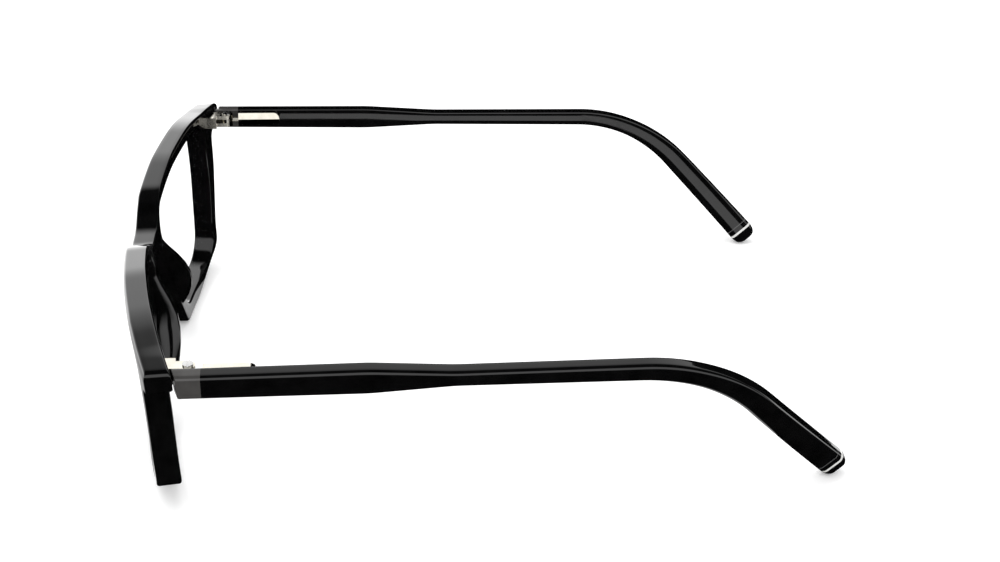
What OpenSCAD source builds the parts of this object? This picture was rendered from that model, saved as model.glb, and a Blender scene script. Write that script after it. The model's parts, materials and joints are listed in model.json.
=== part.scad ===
// Full-rim acetate eyeglasses with spring hinges, open and resting on a table.
// Millimetres. +Z up, the wearer's left is +X, the front faces -Y, temples run to +Y.
// The table is at Z = 0, under the two rims and the two temple tips.

/* [Front] */
// Half width of the front at the end pieces
front_half_w = 64.4; // [62:0.1:67]
// Thickness of the front, from its front face to its rear face
front_t = 5.2; // [4.8:0.1:5.6]
// Radius of the front face across the wearer's face
front_r = 220; // [200:1:250]
// How far the middle of the front face lies ahead of the hinge plane
front_lead = 15.4; // [14.5:0.1:16.5]
// Lean of the front, its lower edge towards the wearer, in degrees
front_lean = 1.8; // [0:0.1:3]

/* [Lenses] */
// Thickness of a lens
lens_t = 2; // [1.6:0.1:2.4]
// Depth of the groove that holds the lens edge
groove_d = 0.8; // [0.5:0.1:1]
// Distance from the front face to the lens
lens_setback = 1.5; // [1.2:0.1:1.9]

/* [Temples] */
// Thickness of a temple from its inner face to its outer face
temple_t = 3.7; // [3.4:0.1:3.8]
// Height of a temple at its front end
temple_h = 5.2; // [4.8:0.1:5.4]
// Height of a temple at its deepest point
temple_kink_h = 5.5; // [5.1:0.1:5.7]
// Height of a temple along its slim middle
temple_slim_h = 3.5; // [3.2:0.1:4]
// Height of a temple at its tip
temple_tip_h = 6.3; // [5.6:0.1:6.6]
// Length along a temple from the hinge plane to the bend
bend_start = 92.8; // [91:0.1:94]
// Radius of the bend over the ear
bend_r = 35.5; // [33:0.5:38]
// Angle of the bend, in degrees
bend_angle = 46; // [40:0.5:48]
// Length along a temple from the hinge plane to the end of its tip
temple_len = 150.4; // [148:0.1:151]
// Slope of the temples down to the back, in degrees
temple_slope = 1.81; // [1.6:0.01:2.1]
// Toe-in of the temples, in degrees
toe_in = 1.3; // [0.8:0.1:2]

/* [Hinges] */
// Distance from the middle to a hinge's screw
hinge_x = 59.2; // [58.8:0.1:59.6]
// Distance from the hinge plane back to the screw
hinge_y = 2.3; // [2.1:0.1:2.5]
// Radius of the hinge barrel
barrel_r = 1.45; // [1.3:0.05:1.5]
// Height of the three knuckles together
barrel_h = 3; // [2.6:0.1:3.4]
// Radius of the hinge screw
screw_r = 0.7; // [0.6:0.05:0.8]
// Length of the spring case
case_len = 10.4; // [9.5:0.1:11]

/* [Hidden] */

$fn = 48;
black = [0.02, 0.02, 0.02];
far = 200;
below = -10;
tall = 70;
slab = 60;
touch = 0.02;
seam = 0.003;

// Places; the hinge plane lies so that the whole object is centred on the origin
hinge_plane_y = -61.755;
front_top_z = 40;
temple_top_z = 39.8;
hinge_rise = 0.7;
hinge_z = temple_top_z - temple_h / 2 + hinge_rise;

// Front and lens curves
front_centre_y = hinge_plane_y + front_r - front_lead;
corner_steps = 7;

// Hinge
knuckle_gap = 0.05;
running = 0.05;
side_gap = 0.2;
knuckle_h = (barrel_h - 2 * knuckle_gap) / 3;
inner_face = barrel_r + side_gap;
temple_off = inner_face + temple_t / 2;
joint_gap = 0.5;
blank_from = -3;
end_section = 5;

// Front hinge, measured from the screw's axis
anchor_side = 2.6;
anchor_front = 5.2;
anchor_deep = 2.6;
arm_side = 1.3;
arm_front = 2.7;
weld = 0.1;

// Spring case, measured from the screw's axis
case_front = 2.9;
case_in = -0.95;
case_sunk = inner_face + 0.9;
case_h = 3;
case_z = 0.2;
case_x = 0.35;
case_bore_r = 0.95;
case_wall = 0.8;
facet_top = 0.9;
facet_low = 0.5;
facet_z = 0.3;
tongue_h = knuckle_h - 0.1;
tongue_w = 1.2;
rod_r = 0.4;
bore_end_wall = 0.9;
stop_y = case_front + case_wall;
tongue_end = stop_y - 0.3;
stop_t = 0.7;
rod_end = case_front + case_len - 2.2;
head_t = 0.8;
spring_r = 0.85;
spring_wire = 0.26;
spring_turns = 7;
spring_core = 0.3;
rod_clear = 0.1;

// Tip parts, lengths along the temple
cap_len = 2.75;
cap_fullness = 0.6;
ring_len = 0.55;
stripe_len = 0.25;
stripe_back = 1.2;
ring_start = temple_len - cap_len - ring_len;
stripe_start = ring_start - stripe_back - stripe_len;

// Core wire
wire_r = 0.65;
wire_from = 20;
wire_to = stripe_start - 6;
wire_sides = 8;
wire_steps = 24;

// ---------- outlines ----------

function unit(v) = v / norm(v);

// Points of the arc that rounds the corner q between p and s with radius r
function corner(p, q, s, r) =
    let (
        u = unit(p - q),
        v = unit(s - q),
        half = acos(u * v) / 2,
        centre = q + unit(u + v) * r / sin(half),
        first = q + u * r / tan(half) - centre,
        last = q + v * r / tan(half) - centre,
        a = atan2(first[1], first[0]),
        turn = ((atan2(last[1], last[0]) - a + 540) % 360) - 180
    )
    [for (i = [0:corner_steps])
        let (b = a + turn * i / corner_steps)
        centre + r * [cos(b), sin(b)]];

// A closed outline from corners [x, z, radius]
function rounded(c) =
    let (n = len(c))
    [for (i = [0:n - 1]) each
        let (
            p = c[(i + n - 1) % n],
            q = c[i],
            s = c[(i + 1) % n]
        )
        corner([p[0], p[1]], [q[0], q[1]], [s[0], s[1]], q[2])];

// The outline moved outwards by d; its points run clockwise
function grown(c, d) =
    let (n = len(c))
    [for (i = [0:n - 1])
        let (t = unit(c[(i + 1) % n] - c[(i + n - 1) % n]))
        c[i] + d * [-t[1], t[0]]];

function mirrored(c) = [for (i = [len(c) - 1:-1:0]) [-c[i][0], c[i][1], c[i][2]]];

// Corners of the left half of the front, from the top of the bridge clockwise
front_corners = [
    [5, 36.7, 9], [12.5, 41.6, 12], [28, 42.9, 60], [47, 42.9, 60],
    [front_half_w, 40.1, 0.8], [front_half_w - 0.2, 35.4, 1], [58.9, 34.4, 2.5],
    [57.8, 26, 40], [52.6, 4.8, 5.5], [36, -0.06, 30], [22.2, -0.06, 3.6], [9.6, 21.5, 12], [6.4, 31.1, 5],
];
front_outline = rounded(concat(front_corners, mirrored(front_corners)));

// Corners of the left lens opening, clockwise from its nasal top corner
eye_outline = rounded([
    [9.4, 38.8, 4.5], [28, 40.1, 60], [46, 40.1, 45], [55, 38.6, 5.5],
    [55, 27, 60], [50.8, 3.6, 8], [25.2, 3.6, 4.5], [12.8, 22.5, 30], [7.6, 33.6, 4],
]);

// ---------- shared helpers ----------

module right() { mirror([1, 0, 0]) children(); }

// Leans the front back about the top of its front face
module leaned() {
    lean_y = hinge_plane_y - front_lead;
    translate([0, lean_y, front_top_z])
        rotate([front_lean, 0, 0])
            translate([0, -lean_y, -front_top_z]) children();
}

// Puts a hinge-centred shape on the left side
module at_hinge() {
    translate([hinge_x, hinge_plane_y + hinge_y, hinge_z]) rotate([-temple_slope, 0, 0]) children();
}

// Extrudes an X-Z outline through the whole front
module across(outline) {
    translate([0, hinge_plane_y, 0])
        rotate([90, 0, 0]) linear_extrude(height = 60, center = true) polygon(outline);
}

// Curved plate between two depths behind the front face
module bent_plate(from, to) {
    sweep = 50;
    translate([0, front_centre_y, below])
        rotate([0, 0, -90 - sweep / 2])
            rotate_extrude(angle = sweep, $fn = 360)
                translate([front_r - to, 0]) square([to - from, tall]);
}

// ---------- front ----------

module front_frame() {
    color(black)
        difference() {
            leaned()
                difference() {
                    intersection() {
                        bent_plate(0, front_t);
                        across(front_outline);
                    }
                    across(eye_outline);
                    right() across(eye_outline);
                    lens_groove();
                    right() lens_groove();
                }
            at_hinge() hinge_anchor();
            right() at_hinge() hinge_anchor();
        }
}

module lens_groove() {
    intersection() {
        bent_plate(lens_setback - touch, lens_setback + lens_t + touch);
        across(grown(eye_outline, groove_d + touch));
    }
}

module lens() {
    color([0.85, 0.9, 0.92, 0.3])
        leaned()
            intersection() {
                bent_plate(lens_setback, lens_setback + lens_t);
                across(grown(eye_outline, groove_d));
            }
}

module nose_pad() {
    pad_side = [
        [-13, 33], [-9.6, 32], [-8.2, 28.4], [-6, 24.6], [-5.1, 21.5], [-5, 18], [-5.7, 13.5],
        [-7.2, 9.5], [-9.6, 6.2], [-13, 6],
    ];
    pad_front = rounded([
        [7.2, 33, 0.8], [9.8, 33, 0.8], [12.2, 24, 14], [19.2, 7.2, 0.9], [16.2, 5.6, 0.9], [9.4, 21.5, 12],
    ]);
    color(black)
        intersection() {
            translate([0, hinge_plane_y, 0])
                rotate([90, 0, 90]) linear_extrude(height = 30) polygon(pad_side);
            across(pad_front);
            leaned() behind_front(seam);
        }
}

// Everything behind the rear face of the front, with a gap
module behind_front(gap) {
    translate([0, front_centre_y, below]) cylinder(r = front_r - front_t - gap, h = tall, $fn = 240);
}

// ---------- hinge ----------

module knuckle(low, high) {
    difference() {
        translate([0, 0, low]) cylinder(r = barrel_r, h = high - low);
        translate([0, 0, low - 1]) cylinder(r = screw_r + running, h = high - low + 2);
    }
}

// The block that is sunk in the back of the front
module hinge_anchor() {
    translate([-anchor_side, -anchor_front, -barrel_h / 2])
        cube([anchor_side + arm_side, anchor_deep, barrel_h]);
}

module front_hinge() {
    color("silver")
        at_hinge()
            for (low = [-barrel_h / 2, barrel_h / 2 - knuckle_h]) {
                knuckle(low, low + knuckle_h);
                difference() {
                    translate([-barrel_r, -arm_front, low])
                        cube([barrel_r + arm_side, arm_front, knuckle_h]);
                    translate([0, 0, low - 1]) cylinder(r = barrel_r - weld, h = knuckle_h + 2);
                }
            }
    color("silver") at_hinge() hinge_anchor();
}

module hinge_screw() {
    head_r = 1.1;
    head_h = 0.35;
    slot_w = 0.3;
    top = barrel_h / 2 + touch;
    color("gainsboro")
        at_hinge()
            difference() {
                union() {
                    translate([0, 0, -barrel_h / 2]) cylinder(r = screw_r, h = barrel_h + weld);
                    translate([0, 0, top]) cylinder(r = head_r, h = head_h);
                }
                translate([-2 * head_r, -slot_w / 2, top + head_h / 2]) cube([4 * head_r, slot_w, head_h]);
            }
}

module spring_slider() {
    color("silver")
        at_hinge() {
            knuckle(-knuckle_h / 2, knuckle_h / 2);
            difference() {
                translate([case_x - tongue_w / 2, 0, -tongue_h / 2])
                    cube([tongue_w, tongue_end, tongue_h]);
                translate([0, 0, -barrel_h / 2]) cylinder(r = barrel_r - weld, h = barrel_h);
            }
            translate([case_x, tongue_end - weld, 0])
                rotate([-90, 0, 0]) cylinder(r = rod_r, h = rod_end - tongue_end + weld);
            translate([case_x, rod_end - head_t, 0]) rotate([-90, 0, 0]) cylinder(r = spring_r, h = head_t);
        }
}

// Mean-diameter tube that stands for the spring's coils
module coil_spring() {
    first = stop_y + stop_t + touch;
    last = rod_end - head_t - touch;
    pitch = (last - first - spring_wire) / (spring_turns - 1);
    color("darkgray")
        at_hinge()
            translate([case_x, first, 0])
                rotate([-90, 0, 0])
                    difference() {
                        union() {
                            cylinder(r = rod_r + spring_core, h = last - first);
                            for (i = [0:spring_turns - 1])
                                translate([0, 0, i * pitch]) cylinder(r = spring_r, h = spring_wire);
                        }
                        translate([0, 0, -1]) cylinder(r = rod_r + rod_clear, h = last);
                    }
}

module slider_stop() {
    color("silver")
        at_hinge()
            translate([case_x, stop_y, 0])
                rotate([-90, 0, 0])
                    difference() {
                        cylinder(r = case_bore_r, h = stop_t);
                        translate([0, 0, -1]) cylinder(r = rod_r + rod_clear, h = stop_t + 2);
                    }
}

// The case's outer shape: an oval end at the back and a foot sunk in the temple
module case_body() {
    deep = case_sunk - case_in;
    end_r = case_h / 2;
    intersection() {
        translate([case_in, case_front, case_z - case_h / 2]) cube([deep, case_len, case_h]);
        translate([case_in - 1, 0, case_z])
            union() {
                translate([0, case_front - 1, -case_h / 2]) cube([deep + 2, case_len + 1 - end_r, case_h]);
                translate([0, case_front + case_len - end_r, 0])
                    rotate([0, 90, 0]) cylinder(r = end_r, h = deep + 2);
            }
        facet_prism();
    }
}

// Leaves a sloped facet along the case's inner face
module facet_prism() {
    top = case_z + case_h / 2;
    low = case_z - case_h / 2;
    rotate([90, 0, 0])
        translate([0, 0, -far])
            linear_extrude(height = far)
                polygon([
                    [case_in + facet_top, top + weld], [case_in, facet_z], [case_in + facet_low, low - weld],
                    [barrel_h, low - weld], [barrel_h, top + weld],
                ]);
}

module spring_case() {
    color("silver")
        at_hinge()
            difference() {
                case_body();
                translate([case_x, stop_y, 0])
                    rotate([-90, 0, 0]) cylinder(r = case_bore_r, h = case_len - case_wall - bore_end_wall);
                translate([case_x - tongue_w / 2 - running, case_front - 1, -tongue_h / 2 - running])
                    cube([tongue_w + 2 * running, case_wall + 2, tongue_h + 2 * running]);
            }
}

// ---------- temples ----------

bend_len = bend_r * bend_angle * PI / 180;

// Height of a temple at lengths from the hinge plane
kink_at = 38;
slim_at = 55;
heights = [
    [0, temple_h], [kink_at, temple_kink_h], [slim_at, temple_slim_h], [bend_start, temple_slim_h + 0.3],
    [bend_start + 13, 4.2], [bend_start + bend_len, 5.5], [temple_len, temple_tip_h],
];

// Turn of the centre line at length s
function turn_at(s) = min(max(s - bend_start, 0), bend_len) / bend_r * 180 / PI;

// Point of the side view at length s, offset by d from the centre line
function side_point(s, d) =
    let (
        a = turn_at(s),
        straight = min(s, bend_start),
        after = max(s - bend_start - bend_len, 0)
    )
    [
        straight + bend_r * sin(a) + after * cos(a) + d * sin(a) - hinge_y,
        -hinge_rise - bend_r * (1 - cos(a)) - after * sin(a) + d * cos(a),
    ];

side_lengths = concat(
    [blank_from, 0, kink_at, slim_at],
    [for (i = [0:10]) bend_start + bend_len * i / 10],
    [temple_len - 3 * cap_len, temple_len - cap_len]
);
tip_r = temple_tip_h / 2;
cap_turns = [75, 60, 45, 30, 15, -15, -30, -45, -60, -75];
function cap_side(a) = sign(a) * tip_r * pow(abs(sin(a)), cap_fullness);
side_outline = concat(
    [for (s = side_lengths) side_point(s, lookup(s, heights) / 2)],
    [for (a = cap_turns) side_point(temple_len - cap_len * (1 - cos(a)), cap_side(a))],
    [for (i = [len(side_lengths) - 1:-1:0])
        side_point(side_lengths[i], -lookup(side_lengths[i], heights) / 2)]
);

// Inward shift of the temple at distance y behind the screw
curve_from = 91;
curve_k = 0.004;
function inward(y) = (y + hinge_y) * tan(toe_in) + curve_k * pow(max(y - curve_from, 0), 2);
curve_len = 49;
plan_stations = concat(
    [blank_from - hinge_y, kink_at, curve_from],
    [for (i = [1:8]) curve_from + curve_len * i / 8]
);
plan_outline = concat(
    [for (y = plan_stations) [temple_off + temple_t / 2 - inward(y), y]],
    [for (i = [len(plan_stations) - 1:-1:0])
        [temple_off - temple_t / 2 - inward(plan_stations[i]), plan_stations[i]]]
);

module temple_blank() {
    intersection() {
        translate([-slab / 2, 0, 0]) rotate([90, 0, 90]) linear_extrude(height = slab) polygon(side_outline);
        translate([0, 0, -slab]) linear_extrude(height = 2 * slab) polygon(plan_outline);
    }
}

// A piece of the temple between two lengths
module temple_slice(from, to) {
    at_hinge()
        intersection() {
            temple_blank();
            slice_box(from + seam, to - seam);
        }
}

// A slab square to the temple's centre line that spans two lengths
module slice_box(from, to) {
    p = side_point(from, 0);
    translate([-far / 2, p[0], p[1]])
        rotate([-turn_at(from), 0, 0])
            translate([0, 0, -slab / 2]) cube([far, to - from, slab]);
}

// The grey section at the front, cut to follow the rear face of the front
module temple_end() {
    color("dimgray")
        intersection() {
            difference() {
                temple_slice(blank_from, end_section);
                at_hinge() case_body();
            }
            leaned() behind_front(joint_gap);
        }
}

module temple() {
    color(black)
        at_hinge()
            difference() {
                temple_blank();
                slice_box(below, end_section);
                slice_box(stripe_start, far);
                case_body();
            }
}

module tip_stripe() { color("gray") temple_slice(stripe_start, stripe_start + stripe_len); }

module tip_band() { color(black) temple_slice(stripe_start + stripe_len, ring_start); }

module tip_ring() { color("white") temple_slice(ring_start, ring_start + ring_len); }

module tip_cap() { color(black) temple_slice(ring_start + ring_len, temple_len + 5); }

// Centre of the core wire at length s
function wire_point(s) =
    let (p = side_point(s, 0))
    [temple_off - inward(p[0]), p[0], p[1]];

module core_wire() {
    rings = [for (i = [0:wire_steps]) wire_from + (wire_to - wire_from) * i / wire_steps];
    points = [for (s = rings, k = [0:wire_sides - 1])
        let (
            c = wire_point(s),
            a = turn_at(s),
            across_x = wire_r * cos(360 * k / wire_sides),
            up = wire_r * sin(360 * k / wire_sides)
        )
        c + [across_x, up * sin(a), up * cos(a)]];
    n = wire_sides;
    sides = [for (i = [0:wire_steps - 1], k = [0:n - 1])
        [i * n + k, i * n + (k + 1) % n, (i + 1) * n + (k + 1) % n, (i + 1) * n + k]];
    start = [[for (k = [n - 1:-1:0]) k]];
    finish = [[for (k = [0:n - 1]) wire_steps * n + k]];
    color("lightsteelblue") at_hinge() polyhedron(points, concat(sides, start, finish));
}

// ---------- nodes ----------

front_frame();
lens();  // lens_left
right() lens();  // lens_right
nose_pad();  // nose_pad_left
right() nose_pad();  // nose_pad_right
front_hinge();  // front_hinge_left
right() front_hinge();  // front_hinge_right
hinge_screw();  // hinge_screw_left
right() hinge_screw();  // hinge_screw_right
spring_slider();  // spring_slider_left
right() spring_slider();  // spring_slider_right
coil_spring();  // coil_spring_left
right() coil_spring();  // coil_spring_right
slider_stop();  // slider_stop_left
right() slider_stop();  // slider_stop_right
spring_case();  // spring_case_left
right() spring_case();  // spring_case_right
temple_end();  // temple_end_left
right() temple_end();  // temple_end_right
temple();  // temple_left
right() temple();  // temple_right
core_wire();  // core_wire_left
right() core_wire();  // core_wire_right
tip_stripe();  // tip_stripe_left
right() tip_stripe();  // tip_stripe_right
tip_band();  // tip_band_left
right() tip_band();  // tip_band_right
tip_ring();  // tip_ring_left
right() tip_ring();  // tip_ring_right
tip_cap();  // tip_cap_left
right() tip_cap();  // tip_cap_right
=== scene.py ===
"""Looks of the eyeglasses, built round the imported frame. Lengths in this script are
millimetres in the row frame until a mesh is made, and then metres."""

import json
import math

import bmesh
import bpy
import numpy as np
from mathutils import Matrix, Vector
from mathutils.geometry import delaunay_2d_cdt


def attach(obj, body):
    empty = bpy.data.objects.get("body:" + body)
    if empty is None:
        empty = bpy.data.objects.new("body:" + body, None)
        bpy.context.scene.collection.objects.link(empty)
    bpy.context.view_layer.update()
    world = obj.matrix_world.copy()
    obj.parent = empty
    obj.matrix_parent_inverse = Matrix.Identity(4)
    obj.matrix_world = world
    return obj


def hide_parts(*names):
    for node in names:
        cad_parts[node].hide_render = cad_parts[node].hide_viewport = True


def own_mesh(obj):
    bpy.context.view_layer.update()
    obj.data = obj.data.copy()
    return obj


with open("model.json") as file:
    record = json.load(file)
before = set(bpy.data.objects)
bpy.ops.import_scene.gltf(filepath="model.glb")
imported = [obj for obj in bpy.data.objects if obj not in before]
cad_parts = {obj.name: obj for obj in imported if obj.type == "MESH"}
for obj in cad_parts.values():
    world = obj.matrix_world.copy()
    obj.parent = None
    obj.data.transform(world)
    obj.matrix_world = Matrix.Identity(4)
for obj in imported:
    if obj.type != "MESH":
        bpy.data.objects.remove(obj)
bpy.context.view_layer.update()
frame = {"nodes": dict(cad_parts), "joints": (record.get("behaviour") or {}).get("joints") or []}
MM = 0.001
SIDES = {"left": 1.0, "right": -1.0}

# ---------------------------------------------------------------- places from the CAD

JOINTS = {j["name"]: j for j in frame["joints"]}
HINGE = np.array(JOINTS["fold_left"]["pos_m"]) / MM
UP_AXIS = np.array(JOINTS["fold_left"]["axis"])
SLOPE = math.atan2(UP_AXIS[1], UP_AXIS[2])
# the hinge plane, which measures along y start at, lies this far ahead of the screws
HINGE_BACK = 2.3
PLANE_Y = HINGE[1] - HINGE_BACK

# ---------------------------------------------------------------- shape numbers

# the front: thickness, radius of its bend, how far its middle lies ahead of the hinge plane,
# and its lean about a line at height TOP_Z
FRONT_T = 5.2
FRONT_R = 220.0
FRONT_LEAD = 15.4
FRONT_LEAN = math.radians(1.8)
TOP_Z = 40.0


# ---------------------------------------------------------------- small geometry helpers

def unit(v):
    return v / np.linalg.norm(v)


def corner_arc(p, q, s, r, steps):
    """Points of the arc that rounds corner q between p and s."""
    u, v = unit(p - q), unit(s - q)
    half = math.acos(float(np.clip(u @ v, -1, 1))) / 2
    centre = q + unit(u + v) * r / math.sin(half)
    a = q + u * r / math.tan(half) - centre
    b = q + v * r / math.tan(half) - centre
    a0 = math.atan2(a[1], a[0])
    turn = (math.atan2(b[1], b[0]) - a0 + math.pi * 3) % (2 * math.pi) - math.pi
    return [centre + r * np.array([math.cos(a0 + turn * i / steps), math.sin(a0 + turn * i / steps)])
            for i in range(steps + 1)]


def rounded(corners, steps=24):
    """A closed outline from corners (x, z, radius)."""
    c = [np.array(k, float) for k in corners]
    out = []
    for i, q in enumerate(c):
        out += corner_arc(c[i - 1][:2], q[:2], c[(i + 1) % len(c)][:2], q[2], steps)
    return np.array(out)


def resampled(loop, step):
    """The closed loop with points about step apart."""
    closed = np.vstack([loop, loop[:1]])
    seg = np.linalg.norm(np.diff(closed, axis=0), axis=1)
    at = np.concatenate([[0], np.cumsum(seg)])
    n = max(8, int(round(at[-1] / step)))
    t = np.linspace(0, at[-1], n, endpoint=False)
    return np.stack([np.interp(t, at, closed[:, k]) for k in range(loop.shape[1])], 1)


def smoothed(loop, rounds):
    """The closed loop with each point pulled between its neighbours."""
    for _ in range(rounds):
        loop = 0.5 * loop + 0.25 * (np.roll(loop, 1, 0) + np.roll(loop, -1, 0))
    return loop


def loop_normals(loop):
    """Unit normals, to the left of the way the points run."""
    t = np.roll(loop, -1, 0) - np.roll(loop, 1, 0)
    t /= np.linalg.norm(t, axis=1)[:, None]
    return np.stack([-t[:, 1], t[:, 0]], 1)


def make_mesh(name, verts, faces, smooth=True):
    """A mesh object from points in mm."""
    me = bpy.data.meshes.new(name)
    points = [tuple(float(c) * MM for c in v) for v in verts]
    me.from_pydata(points, [], [tuple(int(i) for i in f) for f in faces])
    me.validate()
    me.update()
    if smooth:
        me.polygons.foreach_set("use_smooth", [True] * len(me.polygons))
    ob = bpy.data.objects.new(name, me)
    bpy.context.scene.collection.objects.link(ob)
    return ob


def mirrored_mesh(verts, faces):
    """The same mesh on the other side, its faces still facing out."""
    v = np.array(verts, float)
    v[:, 0] *= -1
    return v, [tuple(reversed(f)) for f in faces]


BEVEL_SEGMENTS, BEVEL_ANGLE = 3, math.radians(35)


def add_bevel(ob, width):
    m = ob.modifiers.new("bevel", "BEVEL")
    m.width = width * MM
    m.segments = BEVEL_SEGMENTS
    m.limit_method = "ANGLE"
    m.angle_limit = BEVEL_ANGLE
    m.harden_normals = False


# ---------------------------------------------------------------- materials

def new_material(name):
    """A material with one Principled shader: the material, its node tree and the shader."""
    mat = bpy.data.materials.new(name)
    mat.use_nodes = True
    nt = mat.node_tree
    nt.nodes.clear()
    out = nt.nodes.new("ShaderNodeOutputMaterial")
    b = nt.nodes.new("ShaderNodeBsdfPrincipled")
    nt.links.new(b.outputs[0], out.inputs[0])
    return mat, nt, b


def coords(nt, scale=(1, 1, 1)):
    """Object coordinates, stretched along the axes."""
    tc = nt.nodes.new("ShaderNodeTexCoord")
    mp = nt.nodes.new("ShaderNodeMapping")
    mp.inputs["Scale"].default_value = scale
    nt.links.new(tc.outputs["Object"], mp.inputs["Vector"])
    return mp.outputs[0]


def noise(nt, vec, scale, detail, rough=0.5):
    n = nt.nodes.new("ShaderNodeTexNoise")
    n.inputs["Scale"].default_value = scale
    n.inputs["Detail"].default_value = detail
    n.inputs["Roughness"].default_value = rough
    nt.links.new(vec, n.inputs["Vector"])
    return n.outputs["Fac"]


def ramp(nt, fac, stops):
    """A colour ramp with (position, colour) stops."""
    r = nt.nodes.new("ShaderNodeValToRGB")
    e = r.color_ramp.elements
    while len(e) < len(stops):
        e.new(0.5)
    for el, (pos, col) in zip(e, stops):
        el.position = pos
        el.color = (*col, 1)
    nt.links.new(fac, r.inputs["Fac"])
    return r.outputs["Color"]


def ranged(nt, fac, lo, hi):
    """A factor from 0 to 1 turned into a value from lo to hi."""
    m = nt.nodes.new("ShaderNodeMapRange")
    m.inputs["To Min"].default_value = lo
    m.inputs["To Max"].default_value = hi
    nt.links.new(fac, m.inputs["Value"])
    return m.outputs[0]


def bump(nt, b, height, strength, distance):
    n = nt.nodes.new("ShaderNodeBump")
    n.inputs["Strength"].default_value = strength
    n.inputs["Distance"].default_value = distance
    nt.links.new(height, n.inputs["Height"])
    nt.links.new(n.outputs[0], b.inputs["Normal"])


# noise scales are in turns for each metre of the object
CLOUD_SCALE, POLISH_SCALE, WAVE_SCALE = 260.0, 900.0, 120.0
ACETATE_ROUGH = (0.03, 0.06)
ACETATE_IOR = 1.5
STREAK_SCALE, TINT_SCALE = 400.0, 300.0
LENS_SCALE, LENS_ALPHA = 500.0, 0.03


def acetate(name, dark, light):
    """Polished acetate: cloudy colour just under the gloss and faint polishing waves."""
    mat, nt, b = new_material(name)
    vec = coords(nt)
    cloud = noise(nt, vec, CLOUD_SCALE, 4.0)
    nt.links.new(ramp(nt, cloud, [(0.3, dark), (0.7, light)]), b.inputs["Base Color"])
    fine = noise(nt, vec, POLISH_SCALE, 2.0)
    nt.links.new(ranged(nt, fine, *ACETATE_ROUGH), b.inputs["Roughness"])
    wave = noise(nt, vec, WAVE_SCALE, 1.0)
    bump(nt, b, wave, 0.10, 0.00004)
    b.inputs["IOR"].default_value = ACETATE_IOR
    return mat


def metal(name, low, high, rough, streaks):
    """Polished metal with fine drawn or buffed lines."""
    mat, nt, b = new_material(name)
    fine = noise(nt, coords(nt, streaks), STREAK_SCALE, 4.0, 0.6)
    tint = noise(nt, coords(nt), TINT_SCALE, 2.0)
    nt.links.new(ramp(nt, tint, [(0.35, low), (0.65, high)]), b.inputs["Base Color"])
    nt.links.new(ranged(nt, fine, *rough), b.inputs["Roughness"])
    bump(nt, b, fine, 0.08, 0.00001)
    b.inputs["Metallic"].default_value = 1.0
    return mat


def lens_material(name):
    """Clear lens, so clean that only a breath of it shows."""
    mat, nt, b = new_material(name)
    fine = noise(nt, coords(nt), LENS_SCALE, 2.0)
    tint = ramp(nt, fine, [(0.0, (0.02, 0.022, 0.022)), (1.0, (0.03, 0.032, 0.032))])
    nt.links.new(tint, b.inputs["Base Color"])
    nt.links.new(ranged(nt, fine, 0.02, 0.05), b.inputs["Roughness"])
    b.inputs["Alpha"].default_value = LENS_ALPHA
    return mat


BLACK = acetate("black_acetate", (0.0012, 0.0012, 0.0013), (0.003, 0.003, 0.0031))
GREY = acetate("grey_acetate", (0.046, 0.044, 0.043), (0.058, 0.056, 0.054))
STRIPE = acetate("grey_inlay", (0.055, 0.055, 0.055), (0.075, 0.075, 0.075))
WHITE = acetate("white_acetate", (0.62, 0.62, 0.60), (0.74, 0.74, 0.72))
NICKEL = metal("nickel_silver", (0.66, 0.63, 0.55), (0.74, 0.71, 0.63), (0.10, 0.22), (1, 14, 1))
STEEL = metal("screw_steel", (0.5, 0.5, 0.5), (0.62, 0.62, 0.61), (0.16, 0.3), (8, 8, 1))
SPRING = metal("spring_wire", (0.38, 0.38, 0.39), (0.5, 0.5, 0.5), (0.2, 0.35), (6, 1, 6))
CORE = metal("core_wire", (0.6, 0.59, 0.55), (0.68, 0.67, 0.63), (0.15, 0.28), (4, 1, 4))
LENS = lens_material("clear_lens")


def finish_piece(ob, mat, body, slot, *nodes):
    """Gives a piece its material and its body, and hides the CAD nodes it stands for; the slot is not
    used.
    """
    ob.data.materials.clear()
    ob.data.materials.append(mat)
    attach(ob, body)
    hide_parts(*nodes)


# ---------------------------------------------------------------- the front

# corners (x, z, radius) of the left half of the front, from the top of the bridge outwards
FRONT_HALF = [
    (5.0, 36.2, 9.0), (12.5, 41.5, 12.0), (28.0, 42.9, 60.0), (47.0, 42.9, 60.0),
    (64.4, 40.1, 1.2), (64.25, 35.3, 1.0), (60.2, 34.5, 2.6), (59.2, 26.0, 40.0),
    (53.4, 4.8, 5.5), (36.9, -0.02, 30.0), (22.2, -0.02, 3.6), (9.6, 21.5, 12.0), (6.4, 31.1, 5.0),
]
# corners of the left lens opening
EYE = [
    (9.4, 38.8, 4.5), (28.0, 40.1, 60.0), (46.0, 40.1, 45.0), (55.2, 38.6, 5.0),
    (55.2, 27.0, 60.0), (51.0, 3.6, 8.0), (25.2, 3.6, 4.5), (12.8, 22.5, 30.0), (7.6, 33.6, 4.0),
]
CENTRE_Y = PLANE_Y + FRONT_R - FRONT_LEAD
# how far the front face falls back at the top of the brow, and over what height
BROW_FALL, BROW_FALL_H, BROW_FALL_POWER = 0.35, 1.6, 1.25
BROW_FROM_X, BROW_BLEND = 4.0, 8.0
BROW_X = [0.0, 5.0, 12.5, 28.0, 47.0, 64.4]
BROW_Z = [36.7, 37.2, 41.4, 42.8, 42.8, 40.1]
# the end pieces: above this height and beyond this x the walls run straight back
END_Z, END_Z_BLEND, END_X, END_X_BLEND = 34.2, 2.2, 56.0, 3.0
# the lower outer corners: their walls run nearly straight back
FOOT_Z, FOOT_Z_BLEND, FOOT_X, FOOT_X_BLEND, FOOT_SHARE = 12.0, 8.0, 49.5, 4.0, 0.85
LOOP_STEP, LOOP_SMOOTHING = 0.45, 3
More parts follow.
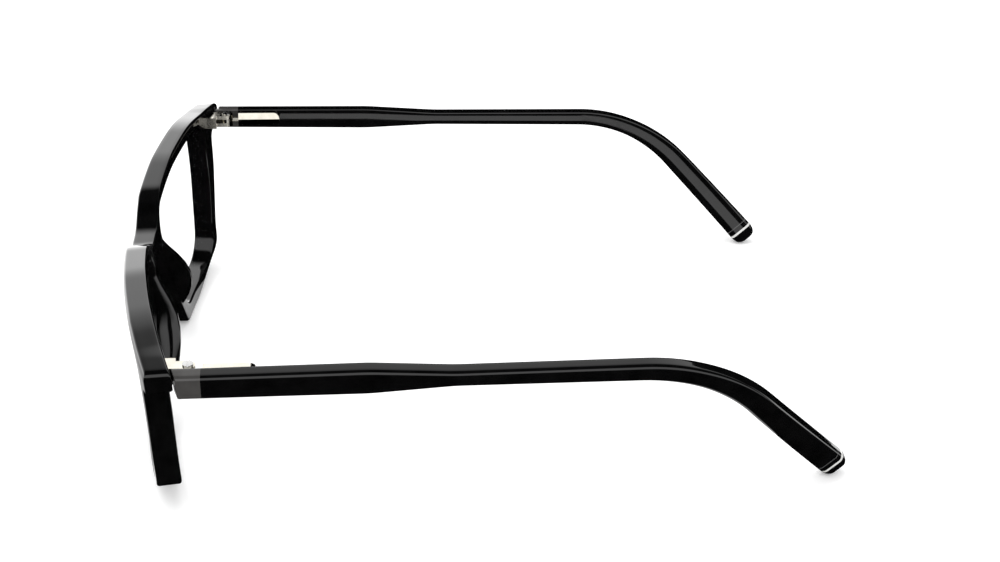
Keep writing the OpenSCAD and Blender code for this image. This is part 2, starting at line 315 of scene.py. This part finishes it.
# edge radii at the front face and at the rear face
RIM_EDGES, EYE_EDGES = (0.55, 0.6), (0.4, 0.45)
WALL_ROWS, EDGE_STEPS = 6, 6
# the grid of points over the front: its reach, its step and its gap to the edges
REACH_X, REACH_Z = 64.0, 44.0
GRID_STEP, GRID_CLEARANCE = 1.1, 0.6


def ease(t):
    """A smooth step from 0 to 1."""
    t = np.clip(t, 0, 1)
    return t * t * (3 - 2 * t)


def brow_fall(x, z, d):
    """How much deeper a point lies near the top of the brow; nothing over the bridge."""
    top = np.interp(np.abs(x), BROW_X, BROW_Z)
    near_top = np.clip((z - top + BROW_FALL_H) / BROW_FALL_H, 0, 1) ** BROW_FALL_POWER
    aside = ease((np.abs(x) - BROW_FROM_X) / BROW_BLEND)
    return BROW_FALL * near_top * aside * (1 - d / FRONT_T)


def front_point(x, z, d):
    """The place of outline point x, z at depth d behind the front face. The walls stand
    square to the bent front, except at the end pieces and the lower outer corners."""
    x, z, d = (np.asarray(a, float) for a in (x, z, d))
    d = d + brow_fall(x, z, d)
    square = 1 - ease((z - END_Z) / END_Z_BLEND) * ease((np.abs(x) - END_X) / END_X_BLEND)
    foot = ease((FOOT_Z - z) / FOOT_Z_BLEND) * ease((np.abs(x) - FOOT_X) / FOOT_X_BLEND)
    square = square - FOOT_SHARE * foot
    xx = x * (1 - square * d / FRONT_R)
    y = CENTRE_Y - np.sqrt((FRONT_R - d) ** 2 - xx ** 2)
    lean_y = PLANE_Y - FRONT_LEAD
    dy, dz = y - lean_y, z - TOP_Z
    c, s = math.cos(FRONT_LEAN), math.sin(FRONT_LEAN)
    return np.stack([xx, lean_y + dy * c - dz * s, TOP_Z + dy * s + dz * c], -1)


def edge_profile(front_r, rear_r):
    """(inset, depth) pairs from the front face, round both edges, to the rear face."""
    turns = [math.pi / 2 * i / EDGE_STEPS for i in range(EDGE_STEPS + 1)]
    rows = [(front_r * (1 - math.sin(a)), front_r * (1 - math.cos(a))) for a in turns]
    wall = np.linspace(front_r, FRONT_T - rear_r, WALL_ROWS)[1:-1]
    rows += [(0.0, float(w)) for w in wall]
    rows += [(rear_r * (1 - math.cos(a)), FRONT_T - rear_r * (1 - math.sin(a))) for a in turns]
    return rows


def edge_walls(loops, verts, faces):
    """Adds each loop's rounded wall. Returns, for the front face and the rear face, each
    loop's (outline, first vertex) on that face."""
    front_rims, rear_rims = [], []
    for loop, inward, profile in loops:
        n = len(loop)
        base = len(verts)
        for inset, depth in profile:
            p = loop + inward * inset
            verts.extend(front_point(p[:, 0], p[:, 1], np.full(n, depth)))
        for r in range(len(profile) - 1):
            for i in range(n):
                a, b = base + r * n + i, base + r * n + (i + 1) % n
                faces.append((a, b, b + n, a + n))
        front_rims.append((loop + inward * profile[0][0], base))
        rear_rims.append((loop + inward * profile[-1][0], base + (len(profile) - 1) * n))
    return front_rims, rear_rims


def fill_face(rims, grid_rims, depth, verts, faces):
    """Fills the plate between the outer rim and the two openings with triangles."""
    pts, edges, index = [], [], []
    for loop, start in rims:
        k, n = len(pts), len(loop)
        pts += [Vector(p) for p in loop]
        index += [start + i for i in range(n)]
        edges += [(k + i, k + (i + 1) % n) for i in range(n)]
    fixed = len(pts)
    for x in np.arange(-REACH_X, REACH_X + 0.1, GRID_STEP):
        for z in np.arange(0, REACH_Z, GRID_STEP):
            if clear_of(np.array([x, z]), grid_rims, GRID_CLEARANCE):
                pts.append(Vector((x, z)))
    flat, _, tris, sources, _, _ = delaunay_2d_cdt(pts, edges, [], 0, 1e-5)
    vmap = []
    for v, source in zip(flat, sources):
        src = [o for o in source if o < fixed]
        if src:
            vmap.append(index[src[0]])
        else:
            vmap.append(len(verts))
            verts.append(front_point(v[0], v[1], depth))
    flat = [np.array(p) for p in flat]
    outer, eye, other_eye = (rim[0] for rim in rims)
    for t in tris:
        c = sum(flat[i] for i in t) / 3
        f = tuple(vmap[i] for i in t)
        holed = inside(c, eye) or inside(c, other_eye)
        if inside(c, outer) and not holed and len(set(f)) == 3:
            faces.append(f)


def build_front():
    """Front face, rear face and three rounded edge loops as one closed surface."""
    outer = smoothed(resampled(rounded(whole_outline()), LOOP_STEP), LOOP_SMOOTHING)
    eye = smoothed(resampled(rounded(EYE), LOOP_STEP), LOOP_SMOOTHING)
    other_eye = eye[::-1] * [-1, 1]
    loops = [(outer, -loop_normals(outer), edge_profile(*RIM_EDGES)),
             (eye, loop_normals(eye), edge_profile(*EYE_EDGES)),
             (other_eye, loop_normals(other_eye), edge_profile(*EYE_EDGES))]
    verts, faces = [], []
    front_rims, rear_rims = edge_walls(loops, verts, faces)
    grid_rims = [rim[0] for rim in front_rims]
    fill_face(front_rims, grid_rims, 0.0, verts, faces)
    fill_face(rear_rims, grid_rims, FRONT_T, verts, faces)
    return np.array(verts), faces


def whole_outline():
    """Corners of the whole front: the left half and its mirror image."""
    half = np.array(FRONT_HALF)
    return np.vstack([half, half[::-1] * [-1, 1, 1]])


def inside(p, loop):
    """Whether a point lies inside a closed loop."""
    x, z = p
    a, b = loop, np.roll(loop, -1, 0)
    hit = (a[:, 1] > z) != (b[:, 1] > z)
    with np.errstate(divide="ignore", invalid="ignore"):
        at = (b[:, 0] - a[:, 0]) * (z - a[:, 1]) / (b[:, 1] - a[:, 1]) + a[:, 0]
    return bool(np.count_nonzero(hit & (x < at)) % 2)


def clear_of(p, loops, gap):
    """Whether a point lies on the plate and at least gap from each of its three loops."""
    if any(np.min(np.sum((lp - p) ** 2, 1)) < gap * gap for lp in loops):
        return False
    return inside(p, loops[0]) and not inside(p, loops[1]) and not inside(p, loops[2])


def outward(ob):
    """Turns every face of a closed mesh to face out."""
    bm = bmesh.new()
    bm.from_mesh(ob.data)
    bmesh.ops.remove_doubles(bm, verts=bm.verts, dist=1e-8)
    bmesh.ops.recalc_face_normals(bm, faces=bm.faces)
    bm.to_mesh(ob.data)
    bm.free()
    ob.data.polygons.foreach_set("use_smooth", [True] * len(ob.data.polygons))
    ob.data.update()


front_v, front_f = build_front()
front = make_mesh("front_shell", front_v, front_f)
outward(front)
finish_piece(front, BLACK, "front", "acetate", "front_frame")

# ---------------------------------------------------------------- nose pads

# above this height the nasal edge of the rim is taken to run straight up
ARCH_TOP = 30.3
# the ridge of a pad: heights, and distances from the hinge plane
PAD_Z = np.array([6.5, 8.0, 11.0, 14.0, 17.0, 20.0, 23.0, 26.0, 29.0, 31.5, 33.0])
PAD_RIDGE = np.array([-10.4, -8.0, -6.4, -5.45, -5.05, -5.0, -5.6, -6.9, -8.6, -9.7, -10.6])


def at_height(outline, z):
    """X of the outline at height z: the crossing nearest the middle on the left side."""
    a, b = outline, np.roll(outline, -1, 0)
    hit = (a[:, 1] > z) != (b[:, 1] > z)
    t = (z - a[hit, 1]) / (b[hit, 1] - a[hit, 1])
    x = a[hit, 0] + t * (b[hit, 0] - a[hit, 0])
    return float(np.min(x[x > 0]))


PAD_SECTIONS, PAD_ARC = 34, 24
PAD_OUTLINE_STEP = 0.4
# how deep a pad is sunk in the rim, and the least height of a section
PAD_SINK, PAD_LEAST = 0.6, 0.25
PAD_SIDE_GAP, PAD_SHIFT, PAD_LEAN = 0.25, 0.15, 0.10
# the share of the limb's width that a pad takes, at its ends and added between them
PAD_WIDTH, PAD_WIDTH_GAIN, PAD_FADE = 0.62, 0.28, 2.5
PAD_SIDE_POWER, PAD_RIDGE_POWER, PAD_FOOT = 0.55, 0.6, 0.15


def build_pad():
    """A fin that rises off the nasal limb of the left rim."""
    outer = resampled(rounded(whole_outline()), PAD_OUTLINE_STEP)
    eye = resampled(rounded(EYE), PAD_OUTLINE_STEP)
    sections = []
    for z in np.linspace(PAD_Z[0], PAD_Z[-1], PAD_SECTIONS):
        ridge = float(np.interp(z, PAD_Z, PAD_RIDGE)) + PLANE_Y
        x0 = at_height(outer, min(z, ARCH_TOP))
        x1 = at_height(eye, z)
        base = float(front_point((x0 + x1) / 2, z, FRONT_T)[1]) - PAD_SINK
        tall = max(ridge - base, PAD_LEAST)
        fade = ease((z - PAD_Z[0]) / PAD_FADE) * ease((PAD_Z[-1] - z) / PAD_FADE)
        mid = (x0 + x1) / 2 + PAD_SHIFT
        wide = ((x1 - x0) / 2 - PAD_SIDE_GAP) * (PAD_WIDTH + PAD_WIDTH_GAIN * fade)
        ring = []
        for k in range(PAD_ARC + 1):
            a = math.pi * k / PAD_ARC
            c, s = math.cos(a), math.sin(a)
            foot = (1 - abs(s)) ** 2 * PAD_FOOT
            w = wide * (abs(c) ** PAD_SIDE_POWER) * math.copysign(1, c) * (1 + foot)
            y = base + tall * (abs(s) ** PAD_RIDGE_POWER)
            ring.append((mid - w + PAD_LEAN * (y - base), y, z))
        sections.append(ring)
    verts = [p for ring in sections for p in ring]
    m = len(sections[0])
    faces = []
    for r in range(len(sections) - 1):
        for i in range(m - 1):
            a = r * m + i
            faces.append((a, a + 1, a + 1 + m, a + m))
        faces.append((r * m + m - 1, r * m, (r + 1) * m, (r + 1) * m + m - 1))
    faces.append(tuple(range(m)))
    last = (len(sections) - 1) * m
    faces.append(tuple(last + i for i in reversed(range(m))))
    return np.array(verts), faces


pad_v, pad_f = build_pad()
for side, sign in SIDES.items():
    v, f = (pad_v, pad_f) if sign > 0 else mirrored_mesh(pad_v, pad_f)
    pad = make_mesh("pad_" + side, v, f)
    outward(pad)
    finish_piece(pad, BLACK, "front", "acetate", "nose_pad_" + side)

# ---------------------------------------------------------------- temples

TOE_IN = math.radians(1.3)
TEMPLE_T = 3.7
# how far the inner face lies outside the screw's axis
INNER_FACE = 1.65
TEMPLE_OFF = INNER_FACE + TEMPLE_T / 2
# the bend over the ear
BEND_START, BEND_R, BEND_ANGLE = 92.8, 35.5, math.radians(46)
BEND_LEN = BEND_R * BEND_ANGLE
TEMPLE_LEN = 150.4
# the inward curve of the rear half
CURVE_FROM, CURVE_K = 91.0, 0.004
# length from the hinge plane, height, thickness, and the edge radii: outer top, inner top,
# inner bottom, outer bottom
TEMPLE_SHAPE = np.array([
    (0.0, 5.2, 3.58, 1.05, 0.45, 0.9, 0.5), (38.0, 5.52, 3.58, 1.1, 0.45, 0.9, 0.5),
    (55.0, 3.55, 3.58, 1.1, 0.6, 1.0, 0.8), (92.8, 3.9, 3.58, 1.15, 0.7, 1.05, 0.9),
    (106.0, 4.3, 3.58, 1.15, 0.7, 1.1, 0.95), (122.0, 5.6, 3.58, 1.2, 0.75, 1.2, 1.0),
    (136.0, 6.0, 3.58, 1.3, 0.9, 1.3, 1.2), (150.4, 6.35, 3.58, 1.45, 1.3, 1.45, 1.45),
])
KINK_EASE = 1.6
# how far the hinge's middle lies above the centre line
HINGE_RISE = 0.7
# the grey section: its end, its edge radius and its gap to the front
END_SECTION, END_SOFTNESS, JOINT_GAP = 5.0, 0.22, 0.5
CAP_LEN, RING_LEN, STRIPE_LEN, STRIPE_BACK = 2.75, 0.55, 0.25, 1.2
RING_START = TEMPLE_LEN - CAP_LEN - RING_LEN
STRIPE_START = RING_START - STRIPE_BACK - STRIPE_LEN


def side_point(s):
    """Centre line in the temple's own plane."""
    a = min(max(s - BEND_START, 0.0), BEND_LEN) / BEND_R
    after = max(s - BEND_START - BEND_LEN, 0.0)
    y = min(s, BEND_START) + BEND_R * math.sin(a) + after * math.cos(a) - HINGE_BACK
    z = -HINGE_RISE - BEND_R * (1 - math.cos(a)) - after * math.sin(a)
    return y, z


def centre(s):
    """Centre line of the left temple at length s."""
    y, z = side_point(s)
    shift = (y + HINGE_BACK) * math.tan(TOE_IN) + CURVE_K * max(y - CURVE_FROM, 0.0) ** 2
    local = np.array([TEMPLE_OFF - shift, y, z])
    c, sn = math.cos(SLOPE), math.sin(SLOPE)
    return HINGE + np.array([local[0], local[1] * c + local[2] * sn, -local[1] * sn + local[2] * c])


def frame_at(s):
    """Centre, way along, outward way and up way at length s."""
    e = 0.05
    along = unit(centre(s + e) - centre(s - e))
    out = unit(np.array([1.0, 0, 0]) - along[0] * along)
    up = np.cross(out, along)
    return centre(s), along, out, unit(up)


def shape_at(s):
    """Height, thickness and the edge radii at length s, with the kinks eased."""
    at = np.clip(s + np.linspace(-KINK_EASE, KINK_EASE, 9), 0, TEMPLE_LEN)
    return [float(np.mean(np.interp(at, TEMPLE_SHAPE[:, 0], column))) for column in TEMPLE_SHAPE.T[1:]]


ARC = 9
# how far the side faces bulge, as a share of the half thickness
CROWN = 0.03
# how far the top face falls toward its outer edge, for each mm of width
TOP_FALL = 0.11
# the end cap: roundness, sections, and the turn and the size at which it closes
CAP_FULLNESS, CAP_STEPS, CAP_TURN, CAP_LEAST = 0.6, 16, 0.985, 0.03
CAP_END = TEMPLE_LEN - 0.09


def section(h, t, *radii):
    """Rounded temple section as (out, up) pairs, with crowned faces."""
    limit = 0.49 * min(h, t)
    signs = ((1, 1), (-1, 1), (-1, -1), (1, -1))
    corners = [(cx, cz, min(r, limit)) for (cx, cz), r in zip(signs, radii)]
    pts = []
    for k, (cx, cz, r) in enumerate(corners):
        for i in range(ARC + 1):
            a = math.radians(90.0 * k + 90.0 * i / ARC)
            pts.append((cx * (t / 2 - r) + r * math.cos(a), cz * (h / 2 - r) + r * math.sin(a)))
        nx, nz, nr = corners[(k + 1) % 4]
        a = math.radians(90.0 * (k + 1))
        p = np.array(pts[-1])
        q = np.array([nx * (t / 2 - nr) + nr * math.cos(a), nz * (h / 2 - nr) + nr * math.sin(a)])
        pts += [tuple(p + (q - p) * m / 4) for m in (1, 2, 3)]
    pts = [(w, u - TOP_FALL * (w + t / 2) * max(0.0, u / (h / 2)) ** 2) for w, u in pts]
    return [(w * (1 + CROWN * (1 - min(1.0, abs(u) / (h / 2)) ** 2)), u) for w, u in pts]


def ring_at(s, shrink=1.0):
    """The temple's section at length s."""
    c, _, out, up = frame_at(s)
    return [c + out * w * shrink + up * u * shrink for w, u in section(*shape_at(s))]


def tube(rings):
    """A closed solid through the rings."""
    verts = [p for ring in rings for p in ring]
    m = len(rings[0])
    faces = []
    for r in range(len(rings) - 1):
        for i in range(m):
            j = (i + 1) % m
            faces.append((r * m + i, r * m + j, (r + 1) * m + j, (r + 1) * m + i))
    for r in (0, len(rings) - 1):
        k = len(verts)
        verts.append(np.mean(rings[r], 0))
        for i in range(m):
            faces.append((r * m + i, r * m + (i + 1) % m, k))
    return np.array(verts), faces


def even(a, b, step):
    """Sections about step apart from length a to length b."""
    n = max(1, int(round((b - a) / step)))
    return [ring_at(a + (b - a) * i / n) for i in range(n + 1)]


def rear_gap(p):
    """How far a point lies behind the rear face of the front."""
    dy, dz = p[1] - (PLANE_Y - FRONT_LEAD), p[2] - TOP_Z
    c, sn = math.cos(FRONT_LEAN), math.sin(FRONT_LEAN)
    y = PLANE_Y - FRONT_LEAD + dy * c + dz * sn
    return y - (CENTRE_Y - math.sqrt((FRONT_R - FRONT_T) ** 2 - p[0] ** 2))


def end_rings():
    """The grey section: its front end follows the rear face of the front."""
    along = frame_at(1.0)[1]
    out = []
    for i in range(5):
        t = math.pi / 2 * i / 4
        shrink = 1 - END_SOFTNESS / (TEMPLE_T / 2) * (1 - math.sin(t))
        gap = JOINT_GAP + END_SOFTNESS * (1 - math.cos(t))
        out.append([p + along * (gap - rear_gap(p)) for p in ring_at(1.0, shrink)])
    return out + even(1.8, END_SECTION, 0.8)


def cap_rings():
    """The rounded end of the tip."""
    a = RING_START + RING_LEN
    out = []
    for i in range(CAP_STEPS + 1):
        t = math.pi / 2 * i / CAP_STEPS * CAP_TURN
        shrink = max(CAP_LEAST, math.cos(t) ** CAP_FULLNESS)
        out.append(ring_at(a + (CAP_END - a) * math.sin(t), shrink))
    return out


PIECES = [
    ("temple_end", end_rings(), GREY, "acetate_grey"),
    ("temple", even(END_SECTION, STRIPE_START, 0.9), BLACK, "acetate"),
    ("tip_stripe", even(STRIPE_START, STRIPE_START + STRIPE_LEN, 0.1), STRIPE, "stripe_grey"),
    ("tip_band", even(STRIPE_START + STRIPE_LEN, RING_START, 0.4), BLACK, "acetate"),
    ("tip_ring", even(RING_START, RING_START + RING_LEN, 0.15), WHITE, "ring_white"),
    ("tip_cap", cap_rings(), BLACK, "acetate"),
]
for kind, rings, mat, slot in PIECES:
    v0, f0 = tube(rings)
    for side, sign in SIDES.items():
        v, f = (v0, f0) if sign > 0 else mirrored_mesh(v0, f0)
        ob = make_mesh("%s_skin_%s" % (kind, side), v, f)
        outward(ob)
        ob.modifiers.new("crease", "EDGE_SPLIT").split_angle = math.radians(40)
        finish_piece(ob, mat, "temple_" + side, slot, "%s_%s" % (kind, side))

# ---------------------------------------------------------------- hinges and lenses from the CAD

# node, material and bevel width
KEPT_NODES = [
    ("front_hinge", NICKEL, 0.1), ("spring_slider", NICKEL, 0.06), ("spring_case", NICKEL, 0.16),
    ("hinge_screw", STEEL, 0.08), ("slider_stop", NICKEL, 0.05), ("core_wire", CORE, 0.0),
    ("lens", LENS, 0.0),
]
for side in SIDES:
    for node, mat, width in KEPT_NODES:
        ob = frame["nodes"]["%s_%s" % (node, side)]
        ob.data.materials.clear()
        ob.data.materials.append(mat)
        if width:
            add_bevel(ob, width)

# the coil spring: the CAD coil as a mesh of its own, carried by the slider
for side in SIDES:
    cad = frame["nodes"]["coil_spring_" + side]
    points = np.array([cad.matrix_world @ v.co for v in cad.data.vertices]) / MM
    facets = [tuple(f.vertices) for f in cad.data.polygons]
    coil = make_mesh("coil_" + side, points, facets, smooth=False)
    finish_piece(coil, SPRING, "slider_" + side, "spring_steel", "coil_spring_" + side)
    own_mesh(coil)

# ---------------------------------------------------------------- floor, light and camera

CAMERA_AZ, CAMERA_EL = math.radians(-3.592), math.radians(30.116)
CAMERA_ROLL = math.radians(-0.671)
CAMERA_DISTANCE = 411.85
CAMERA_TARGET = np.array([0.0, 67.963 + PLANE_Y, 21.028])
# sensor width, and focal length as a share of it
SENSOR, FOCAL_SHARE = 36.0, 1.76418
CAMERA_BACK = np.array([math.cos(CAMERA_AZ) * math.cos(CAMERA_EL),
                        math.sin(CAMERA_AZ) * math.cos(CAMERA_EL), math.sin(CAMERA_EL)])
CAMERA_PLACE = CAMERA_TARGET + CAMERA_BACK * CAMERA_DISTANCE

# where the lit strip of floor shows in the far temple's inner face: length, lower and
# upper height from the centre line
GLINT = np.array([
    (0.0, 0.1, 2.2), (38.0, 0.1, 2.1), (55.0, -0.6, 1.4),
    (100.0, -0.8, 1.4), (122.0, -1.3, 1.6), (150.4, -1.8, 1.7),
])
GLINT_SPAN = np.arange(2.0, 150.0, 2.0)

# the stage, in metres
FLOOR_HALF, FLOOR_Z, STRIP_Z = 9, -0.00005, -0.00002
FLOOR_GLOW, STAGE_SCALE = 0.2, 6.0
FLAG_X = -0.09
FLAG_YZ = [(-0.0655, -0.03), (0.5, -0.03), (0.5, 0.2), (0.035, 0.128), (-0.0655, 0.078)]
KEY_PLACE, KEY_AIM, KEY_SIZE, KEY_POWER = (-0.1, -0.2, 0.8), (0, 0, 0.02), 0.8, 3.5
GLOSS_STRENGTH = 3.6
# what gloss sees of the surroundings: degrees up from the far horizon over the top to the
# near one, and brightness
GLOSS_SKY = [
    (-180, 0), (-40, 0.0), (-8, 0.9), (12, 0.9), (19, 0.74), (26, 0.5), (36, 0.38), (44, 0.27),
    (50, 0.13), (57, 0.0), (100, 0.0), (107, 0.42), (146, 0.42), (156, 0.0), (180, 0.0),
]


def floor_glint(s, edge):
    """The floor point that the far temple's inner face mirrors to the camera."""
    c, _, out, up = frame_at(s)
    h, t = shape_at(s)[:2]
    u = np.interp(s, GLINT[:, 0], GLINT[:, edge])
    p = c - out * t / 2 + up * u
    n = unit(up * 4 * CROWN * t * u / h ** 2 - out)
    flip = np.array([-1, 1, 1])
    p, n = p * flip, n * flip
    d = unit(p - CAMERA_PLACE)
    r = d - 2 * (d @ n) * n
    hit = p - r * p[2] / r[2]
    return (hit[0] * MM, hit[1] * MM, STRIP_Z)


def matt(name, dark, light):
    """A material without gloss: the material and its shader."""
    mat, nt, b = new_material(name)
    cloud = noise(nt, coords(nt), STAGE_SCALE, 2.0)
    nt.links.new(ramp(nt, cloud, [(0.0, dark), (1.0, light)]), b.inputs["Base Color"])
    b.inputs["Roughness"].default_value = 1.0
    b.inputs["Specular IOR Level"].default_value = 0.0
    return mat, b


def flat_piece(name, corners, mat, faces=None):
    """A stage piece through the corners: one face, or the faces given."""
    me = bpy.data.meshes.new(name)
    me.from_pydata(corners, [], faces or [tuple(range(len(corners)))])
    ob = bpy.data.objects.new(name, me)
    ob.data.materials.append(mat)
    bpy.context.scene.collection.objects.link(ob)
    return ob


def backdrop():
    """The pale floor, which gloss doesn't see, and the strip of it that gloss does see."""
    mat, b = matt("pale_floor", (0.93, 0.93, 0.93), (0.95, 0.95, 0.95))
    b.inputs["Emission Color"].default_value = (1, 1, 1, 1)
    b.inputs["Emission Strength"].default_value = FLOOR_GLOW
    around = [(-1, -1), (1, -1), (1, 1), (-1, 1)]
    floor = flat_piece("floor", [(FLOOR_HALF * x, FLOOR_HALF * y, FLOOR_Z) for x, y in around], mat)
    floor.visible_glossy = False
    strip = [floor_glint(at, edge) for at in GLINT_SPAN for edge in (1, 2)]
    quads = [(k, k + 1, k + 3, k + 2) for k in range(0, len(strip) - 2, 2)]
    flat_piece("floor_inner", strip, mat, quads)


def dark_card():
    """A black flag beyond the far temple that only gloss sees."""
    mat, _ = matt("black_flag", (0, 0, 0), (0.002, 0.002, 0.002))
    ob = flat_piece("flag", [(FLAG_X, y, z) for y, z in FLAG_YZ], mat)
    ob.visible_camera = ob.visible_diffuse = ob.visible_shadow = ob.visible_transmission = False


def math_node(nt, operation):
    """A shader node that does one sum."""
    n = nt.nodes.new("ShaderNodeMath")
    n.operation = operation
    return n


def background(nt, strength):
    """A background shader, white until its colour is linked."""
    n = nt.nodes.new("ShaderNodeBackground")
    n.inputs["Color"].default_value = (1, 1, 1, 1)
    n.inputs["Strength"].default_value = strength
    return n


def studio():
    """White all round for soft light; what gloss mirrors is a lit backdrop low on the far
    side and a wide lamp overhead, with dark between them and below."""
    world = bpy.data.worlds.new("studio")
    bpy.context.scene.world = world
    world.use_nodes = True
    nt = world.node_tree
    nt.nodes.clear()
    out = nt.nodes.new("ShaderNodeOutputWorld")
    tc = nt.nodes.new("ShaderNodeTexCoord")
    sep = nt.nodes.new("ShaderNodeSeparateXYZ")
    nt.links.new(tc.outputs["Generated"], sep.inputs[0])
    back = math_node(nt, "MULTIPLY")
    back.inputs[1].default_value = -1.0
    nt.links.new(sep.outputs["X"], back.inputs[0])
    ang = math_node(nt, "ARCTAN2")
    nt.links.new(sep.outputs["Z"], ang.inputs[0])
    nt.links.new(back.outputs[0], ang.inputs[1])
    fac = nt.nodes.new("ShaderNodeMapRange")
    fac.inputs["From Min"].default_value = -math.pi
    fac.inputs["From Max"].default_value = math.pi
    nt.links.new(ang.outputs[0], fac.inputs["Value"])
    stops = [((deg + 180.0) / 360.0, (v, v, v)) for deg, v in GLOSS_SKY]
    seen = background(nt, GLOSS_STRENGTH)
    nt.links.new(ramp(nt, fac.outputs[0], stops), seen.inputs["Color"])
    soft = background(nt, 1.0)
    path = nt.nodes.new("ShaderNodeLightPath")
    mix = nt.nodes.new("ShaderNodeMixShader")
    nt.links.new(path.outputs["Is Glossy Ray"], mix.inputs["Fac"])
    nt.links.new(soft.outputs[0], mix.inputs[1])
    nt.links.new(seen.outputs[0], mix.inputs[2])
    nt.links.new(mix.outputs[0], out.inputs[0])
    world.cycles.sampling_method = "NONE"


def key_lamp():
    """A wide soft lamp overhead; gloss doesn't see it."""
    data = bpy.data.lights.new("key", "AREA")
    data.shape = "SQUARE"
    data.size = KEY_SIZE
    data.energy = KEY_POWER
    ob = bpy.data.objects.new("key", data)
    ob.location = KEY_PLACE
    ob.rotation_euler = (Vector(KEY_AIM) - Vector(KEY_PLACE)).to_track_quat("-Z", "Y").to_euler()
    ob.visible_glossy = False
    bpy.context.scene.collection.objects.link(ob)


def camera():
    """The camera beside the left temple, a little above the glasses."""
    level = np.array([-math.sin(CAMERA_AZ), math.cos(CAMERA_AZ), 0.0])
    above = np.cross(CAMERA_BACK, level)
    c, s = math.cos(CAMERA_ROLL), math.sin(CAMERA_ROLL)
    right = c * level + s * above
    up = -s * level + c * above
    place = CAMERA_PLACE * MM
    data = bpy.data.cameras.new("camera")
    data.sensor_width = SENSOR
    data.lens = FOCAL_SHARE * SENSOR
    data.clip_start, data.clip_end = 0.01, 50.0
    cam = bpy.data.objects.new("camera", data)
    rows = [(right[k], up[k], CAMERA_BACK[k], place[k]) for k in range(3)]
    cam.matrix_world = Matrix((*rows, (0, 0, 0, 1)))
    bpy.context.scene.collection.objects.link(cam)
    bpy.context.scene.camera = cam


backdrop()
dark_card()
studio()
camera()
key_lamp()
bpy.context.scene.view_settings.view_transform = "Standard"
